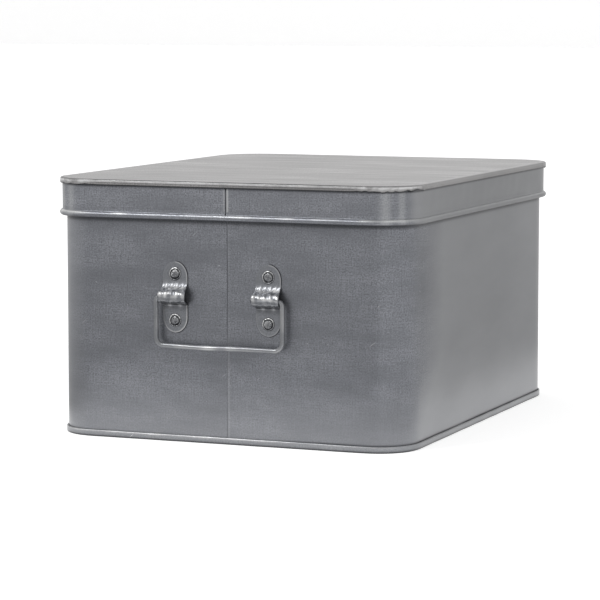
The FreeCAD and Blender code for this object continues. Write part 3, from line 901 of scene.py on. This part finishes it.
furrow_fill = np.concatenate(
    [
        [(SKIRT_MIDDLE, neck_top + SHEET), (skirt_face, neck_top + SHEET), (skirt_face, neck_top - SHEET)],
        fillet + [skirt_face, BEAD_HEIGHT + BEAD * 0.97],
        [(skirt_face + SHEET, BEAD_HEIGHT + roll), (SKIRT_MIDDLE - roll * 0.6, BEAD_HEIGHT + roll)],
        [(SKIRT_MIDDLE - roll * 0.6, neck_top - NECK_HIGH / 3)],
    ]
)


def corner_turn(normal):
    """Degrees by which a corner has turned away from its end: 0 on the end and 90 on the side."""
    return np.degrees(np.arctan2(abs(normal[..., 0]), abs(normal[..., 1])))


LEFT_DINT = (SEAM - 0.0035, 0.0022)
RIGHT_DINT = (SEAM + 0.0032, 0.0018)
DINT_HIGH = (BEAD_HEIGHT + BEAD * 2.2, 0.0022)


def skirt_uneven(points):
    """Shallow swells of the strip, and small dints beside the lap on the ends, just over the bead."""
    swell = waves(points, length=0.07, depth=0.00009, seed=13)
    swell = swell + waves(points, length=0.02, depth=0.00003, seed=14)
    on_end = abs(points[..., 1]) > HALF_LENGTH
    along = along_end(points)
    dints = near(along, *LEFT_DINT) + near(along, *RIGHT_DINT)
    return swell - DINT_DEEP * dints * near(points[..., 2], *DINT_HIGH) * on_end


# Degrees round a corner, where a pair is the middle of a mark and its reach.
BEAD_CORNER_HIGHLIGHT = (42, 32)
FIRST_CORNER_REFLECTION = (28, 10)
SECOND_CORNER_REFLECTION = (50, 7)
GRAIN_AND_SHADE_TO = 72
GRAIN_AND_SHADE_FADE = 15


def skirt_look(points, normal, out):
    """Painted shade under the panel's rim and a painted shadow under the bead, and grime in the lap's groove.

    The bead's upper outside is worn and carries painted highlights in patches along the ends and round the
    corners, and the lap's edges carry painted highlights. Two upright painted reflections on each corner
    brighten it a little, and the ends' darker brushed colour, partly painted shade, fades out round each
    corner.
    """
    height = points[..., 2]
    along = along_end(points)
    turn = corner_turn(normal)
    on_bead = (height < BEAD_HEIGHT + BEAD) & (out > SKIRT_MIDDLE)
    # Wear and painted highlights on the bead's upper outside, stronger round the corners.
    patches = 0.2 + waves(points * [1, 1, 0], length=0.02, depth=0.25, seed=17) * abs(normal[..., 1])
    patches = np.clip(patches + 0.7 * near(turn, *BEAD_CORNER_HIGHLIGHT), 0, 1)
    wear_and_highlight = patches * on_bead * near(height, BEAD_HEIGHT + BEAD * 0.75, BEAD * 0.8)
    at_lap = (normal[..., 1] ** 2 > 0.5) * (height > neck_top)
    # Painted highlights beside the lap's groove.
    lap_edge = 0.7 * near(along, SEAM + LID_GROOVE * 1.8, 0.0013)
    lap_edge = lap_edge + 0.3 * near(along, SEAM - LID_GROOVE, LID_GROOVE)
    wear_and_highlight = np.maximum(wear_and_highlight, lap_edge * at_lap)
    groove = 0.55 * near(along, SEAM + LID_GROOVE / 2, 0.0008) * at_lap
    # Painted shade under the rim and a painted shadow under the bead.
    under_rim = 0.85 * near(height, panel_low.z - 0.0001, 0.001 + 0.0006 * abs(normal[..., 1]))
    shade_and_grime = under_rim + 0.75 * near(height, skirt_low.z, 0.0016) + groove
    # Two upright painted reflections on each corner.
    corner_reflections = 0.3 * near(turn, *FIRST_CORNER_REFLECTION) + 0.3 * near(turn, *SECOND_CORNER_REFLECTION)
    # The ends' darker brushed colour, partly painted shade, fades out round the corner.
    grained_and_shaded = np.clip((GRAIN_AND_SHADE_TO - turn) / GRAIN_AND_SHADE_FADE, 0, 1)
    return looks(points, np.clip(wear_and_highlight + corner_reflections, 0, 1), np.clip(shade_and_grime, 0, 1), grained_and_shaded)


in_plain = np.clip((skirt_outline[:, 1] - BEAD_HEIGHT - BEAD) / NECK_HIGH, 0, 1)
skirt_start = SEAM + BUTT_GAP + (LID_GROOVE - BUTT_GAP) * in_plain
share = steps(0, ROUND / 2, spacing=0.0025, fine=0.0006, length=0.009) / (ROUND / 2)
skirt_runs = skirt_start + (ROUND / 2 + SEAM - skirt_start) * share
furrow_runs = SEAM + LID_GROOVE / 2 + (ROUND / 2 - LID_GROOVE / 2) * share
lid_tongue_runs = steps(SEAM - TONGUE, SEAM + TONGUE, LID_GROOVE / 2)
skirt_shells = [
    carried(skirt_outline, skirt_runs, skirt_uneven, skirt_look),
    carried(furrow_fill, furrow_runs, skirt_uneven, skirt_look),
    carried(lid_tongue_outline, lid_tongue_runs, skirt_uneven, skirt_look),
]
piece("lid_skirt_right", skirt_shells, skirt_paint, "lid", "painted_sheet", "lid_right_skirt")
skirt_shells = [to_other_end(shell) for shell in skirt_shells]
piece("lid_skirt_left", skirt_shells, skirt_paint, "lid", "painted_sheet", "lid_left_skirt")

# Lid panel
# A flat sheet whose edge is wrapped down over the skirt's hook and closed up behind it. Where the seam goes
# round the corners the spare metal was crimped, which left puckers in the rim.
CRIMP = 0.009
WRINKLE = 0.0035
LID_SWELL = 0.0001
panel_paint = grey_paint(
    "grey_metallic_paint_on_lid_panel",
    ends=("#828181", "#C5C3C3"),
    sides=("#999898", "#C0BEBE"),
    wear_and_highlight="#F0F0F0",
    rough=(0.34, 0.36),
    metallic=0.7,
    stroke_mm=(110, 12),
    cloud_mm=(150, 60),
    grain=0.9,
    upright=0.1,
)
panel_outline = seamed_outline(
    rim=SKIRT_MIDDLE + LAYER * 3,
    hook=SKIRT_MIDDLE + LAYER,
    face=panel_high.z - SHEET / 2,
    foot=panel_low.z + SHEET / 2,
    tip=panel_high.z - SHEET - LAYER * 2,
)


def at_corners(points):
    """1 in the rounded corners of the plan, falling to 0 where the sides begin."""
    corner = np.clip((abs(points[..., :2]) - [SIDE_X - 0.01, SIDE_Y - 0.01]) / 0.015, 0, 1)
    return corner[..., 0] * corner[..., 1]


def rim_uneven(points):
    """Slight waves along the rim, and puckers and wrinkles where it was crimped round the corners."""
    puckers = waves(points * [1, 1, 0.3], length=CRIMP, depth=0.0002, seed=24)
    puckers = puckers + waves(points * [1, 1, 0.5], length=WRINKLE, depth=0.00008, seed=25)
    return waves(points, length=0.03, depth=0.00006, seed=23) + puckers * at_corners(points)


def rim_lift(points):
    """The rim's lower edge drawn up and down between the puckers."""
    low = np.clip((panel_high.z - 0.0012 - points[..., 2]) / 0.003, 0, 1)
    return waves(points * [1, 1, 0], length=CRIMP * 0.7, depth=0.00042, seed=26) * at_corners(points) * low


# Degrees round a corner: where the painted highlight returns, and where the foot's painted shadow is thicker.
RIM_CORNER_HIGHLIGHT = (54, 26)
RIM_FOOT_SHADOW = (72, 20)


def rim_look(points, normal, out):
    """From the top down: painted shade in the crease, a worn line with a painted highlight, a painted dark
    line, the plain band darkened by painted shade, and a painted shadow at its foot.

    Each corner breaks up the bright line, and has a painted highlight again where it turns into the side,
    over a thicker painted shadow at the foot. The painted shade is stronger on the ends than on the sides.
    """
    level = points * [1, 1, 0]
    down = (panel_high.z - points[..., 2]) / (panel_high.z - panel_low.z)
    on_face = np.clip((out - SKIRT_MIDDLE - LAYER * 2) / LAYER, 0, 1)
    on_end = np.clip(abs(normal[..., 1]) * 2, 0, 1)
    corner = at_corners(points)
    turn = corner_turn(normal)
    stretches = 0.85 + waves(level, length=0.035, depth=0.25, seed=7)
    stretches = stretches + waves(points, length=WRINKLE, depth=0.15, seed=8)
    broken = 0.45 + waves(level, length=CRIMP, depth=0.35, seed=24)
    broken = broken + waves(points, length=WRINKLE, depth=0.3, seed=27)
    # A painted highlight where each corner turns into the side.
    broken = broken + 1.2 * near(turn, *RIM_CORNER_HIGHLIGHT)
    line = np.clip(stretches * (1 - corner) + broken * corner, 0, 1) * on_end
    # A worn line with a painted highlight.
    wear_and_highlight = line * near(down, 0.28 + 0.12 * corner, 0.24 + 0.16 * corner) * on_face
    # Painted shade in the crease, a painted dark line, and faint painted shade over the band.
    crease_shade = near(down, 0.05, 0.13) * np.clip((out - SKIRT_MIDDLE + LAYER * 2) / LAYER, 0, 1)
    shade_lines = crease_shade + (0.5 * near(down, 0.56, 0.1) + 0.25 * (down > 0.1)) * on_face
    # A painted shadow at the rim's foot.
    foot = near(down, 1.0, 0.22 + 0.04 * corner + 0.15 * near(turn, *RIM_FOOT_SHADOW))
    shade_and_grime = shade_lines * (0.3 + 0.7 * on_end) * (1 - 0.3 * corner) + foot
    return looks(points, wear_and_highlight, np.clip(shade_and_grime, 0, 1), brush_and_shade(points))


lid_shells = [
    carried(panel_outline, steps(0, ROUND, SEAM_STEP)[:-1], rim_uneven, rim_look, True, rim_lift),
    flat_panel(panel_high.z - SHEET, swell=LID_SWELL, brushed_and_shaded=1.0),
]
piece("lid_top", lid_shells, panel_paint, "lid", "painted_sheet", "lid_panel")

# Lid edge wire
# A hoop of plain drawn wire inside the bead, a dull grey metal that can be glimpsed only at the open edge of
# the roll.
wire_steel = bpy.data.materials.new("drawn_steel_wire")
wire_steel.use_nodes = True
wire_shader = wire_steel.node_tree.nodes["Principled BSDF"]
wire_shader.inputs["Base Color"].default_value = linear("#6A6B6D")
wire_shader.inputs["Metallic"].default_value = 0.9
wire_shader.inputs["Roughness"].default_value = 0.4
edge_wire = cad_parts["lid_edge_wire"]
edge_wire.data.materials.clear()
edge_wire.data.materials.append(wire_steel)

# Floor, light and camera
# A white paper floor that turns up far away, and a low grey tent round the box, under a soft white room light
# and a key from the upper left. The paint shows the white paper low down and the grey tent higher up.
PAPER_REACH = 18.0
PAPER_HIGH = 4.0
PAPER_GLOW = 0.6


def stage_sheet(name, points, faces, material):
    """A flat object that belongs to the studio and not to the box."""
    mesh = bpy.data.meshes.new(name)
    mesh.from_pydata(points, [], faces)
    mesh.materials.append(material)
    made = bpy.data.objects.new(name, mesh)
    bpy.context.scene.collection.objects.link(made)
    return made


# Matt white paper, which glows a little to the eye and in the paint, so that it stays white behind the box.
paper = bpy.data.materials.new("white_paper")
paper.use_nodes = True
tree = paper.node_tree
shader = tree.nodes["Principled BSDF"]
shader.inputs["Base Color"].default_value = linear("#D8D8D8")
shader.inputs["Roughness"].default_value = 0.9
shader.inputs["Specular IOR Level"].default_value = 0.0
shader.inputs["Emission Color"].default_value = (1, 1, 1, 1)
rays = add(tree, "ShaderNodeLightPath").node.outputs
seen = rays["Is Camera Ray"]
for kind in ("Is Glossy Ray", "Is Transmission Ray"):
    seen = add(tree, "ShaderNodeMath", {0: seen, 1: rays[kind]}, operation="MAXIMUM")
seen = add(tree, "ShaderNodeMath", {0: seen, 1: PAPER_GLOW}, operation="MULTIPLY")
tree.links.new(seen, shader.inputs["Emission Strength"])
around = [(-1, -1), (1, -1), (1, 1), (-1, 1)]
paper_points = [(x * PAPER_REACH, y * PAPER_REACH, z) for z in (0, PAPER_HIGH) for x, y in around]
turn_ups = [(n, (n + 1) % 4, (n + 1) % 4 + 4, n + 4) for n in range(4)]
stage_sheet("paper_floor", paper_points, [(0, 1, 2, 3)] + turn_ups, paper)

TENT_X = 0.235
TENT_Y = 0.46
TENT_HIGH = 0.36


def tent_board(name, ends, low, high, span=1.0):
    """One side of the tent, seen only in the paint.

    Its cloth glows from a low level at the foot to a high one halfway up, and both levels change along the
    middle span of its length.
    """
    cloth = bpy.data.materials.new(name + "_cloth")
    cloth.use_nodes = True
    tree = cloth.node_tree
    shader = tree.nodes["Principled BSDF"]
    shader.inputs["Base Color"].default_value = linear("#000000")
    shader.inputs["Specular IOR Level"].default_value = 0.0
    shader.inputs["Emission Color"].default_value = (1, 1, 1, 1)
    (x0, y0), (x1, y1) = np.array(ends) * [TENT_X, TENT_Y]
    place = add(tree, "ShaderNodeTexCoord").node.outputs["Object"]
    place = add(tree, "ShaderNodeSeparateXYZ", {"Vector": place}).node.outputs
    way, start, stop = ("X", x0, x1) if y0 == y1 else ("Y", y0, y1)
    glow = {"Value": place["Z"], "From Max": TENT_HIGH / 2}
    for end, level in (("To Min", low), ("To Max", high)):
        along = {"Value": place[way], "From Min": start * span, "From Max": stop * span}
        along.update({"To Min": level[0], "To Max": level[1]})
        glow[end] = add(tree, "ShaderNodeMapRange", along)
    tree.links.new(add(tree, "ShaderNodeMapRange", glow), shader.inputs["Emission Strength"])
    points = [(x0, y0, 0), (x1, y1, 0), (x1, y1, TENT_HIGH), (x0, y0, TENT_HIGH)]
    board = stage_sheet(name, points, [(0, 1, 2, 3)], cloth)
    board.visible_camera = False
    board.visible_diffuse = False
    board.visible_shadow = False


tent_board("tent_front", around[0:2], (0.4, 0.48), (0.8, 0.76))
tent_board("tent_right", around[1:3], (0.95, 0.48), (0.87, 0.57), 0.2)
tent_board("tent_rear", around[2:4], (0.8, 0.33), (0.9, 0.77))
tent_board("tent_left", (around[3], around[0]), (0.72, 0.42), (0.8, 0.76))

world = bpy.data.worlds.new("white_room")
bpy.context.scene.world = world
world.use_nodes = True
world.node_tree.nodes["Background"].inputs["Color"].default_value = (1, 1, 1, 1)
world.node_tree.nodes["Background"].inputs["Strength"].default_value = 0.8

KEY_PLACE = Vector((-1.2, -1.5, 2.0))
KEY_AIM = Vector((0, 0, 0.1))
key = bpy.data.lights.new("key", "AREA")
key.size = 0.9
key.energy = 26
key_object = bpy.data.objects.new("key", key)
key_object.location = KEY_PLACE
key_object.rotation_mode = "QUATERNION"
key_object.rotation_quaternion = (KEY_AIM - KEY_PLACE).to_track_quat("-Z", "Y")
bpy.context.scene.collection.objects.link(key_object)

CAMERA_EYE = (0.8745, -2.2092, 0.3549)
CAMERA_YAW = np.radians(21.879)
CAMERA_PITCH = np.radians(6.192)
camera = bpy.data.cameras.new("camera")
camera.lens = 165.84
camera.sensor_width = 36
camera_object = bpy.data.objects.new("camera", camera)
camera_object.location = CAMERA_EYE
camera_object.rotation_euler = (np.pi / 2 - CAMERA_PITCH, 0, CAMERA_YAW)
bpy.context.scene.collection.objects.link(camera_object)
bpy.context.scene.camera = camera_object
bpy.context.scene.view_settings.view_transform = "Standard"
